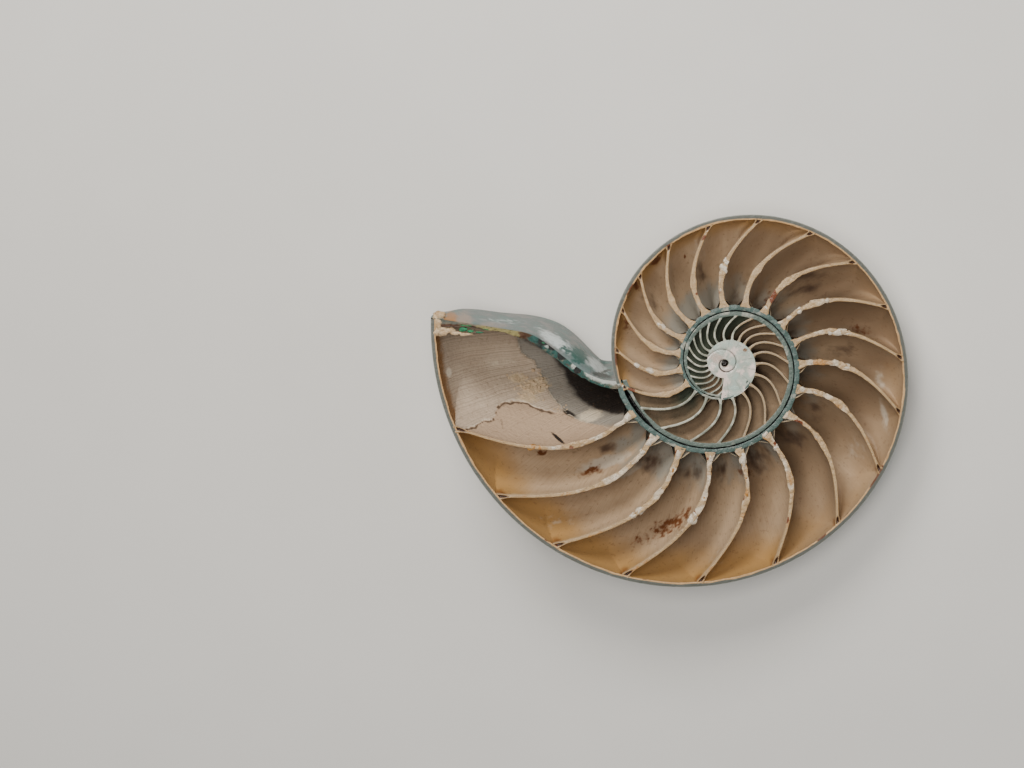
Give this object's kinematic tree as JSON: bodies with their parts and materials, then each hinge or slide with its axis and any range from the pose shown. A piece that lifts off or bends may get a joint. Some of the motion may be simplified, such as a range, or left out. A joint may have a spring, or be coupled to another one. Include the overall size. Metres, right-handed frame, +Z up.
{
  "type": "nautilus shell half",
  "caption": "Sawn half of a chambered nautilus shell lying on its convex flank, its spiral of open chambers and curved septa facing up.",
  "frame": {"origin": "under the middle of the bounding box, at the height the shell lies on", "axes": "+Z up; +X from the body chamber's lip toward the back of the coil, along the sawn face as it lies; +Y toward the top of the coil in the picture"},
  "size_m": [0.1682, 0.1358, 0.0509],
  "materials": {
    "shell": "matte brown-beige inside the chambers, cream sawn edges, grey-teal and white nacre on the ring, the core and the upper wall"
  },
  "bodies": {
    "root": {"shell_half": "shell"}
  },
  "joints": []
}
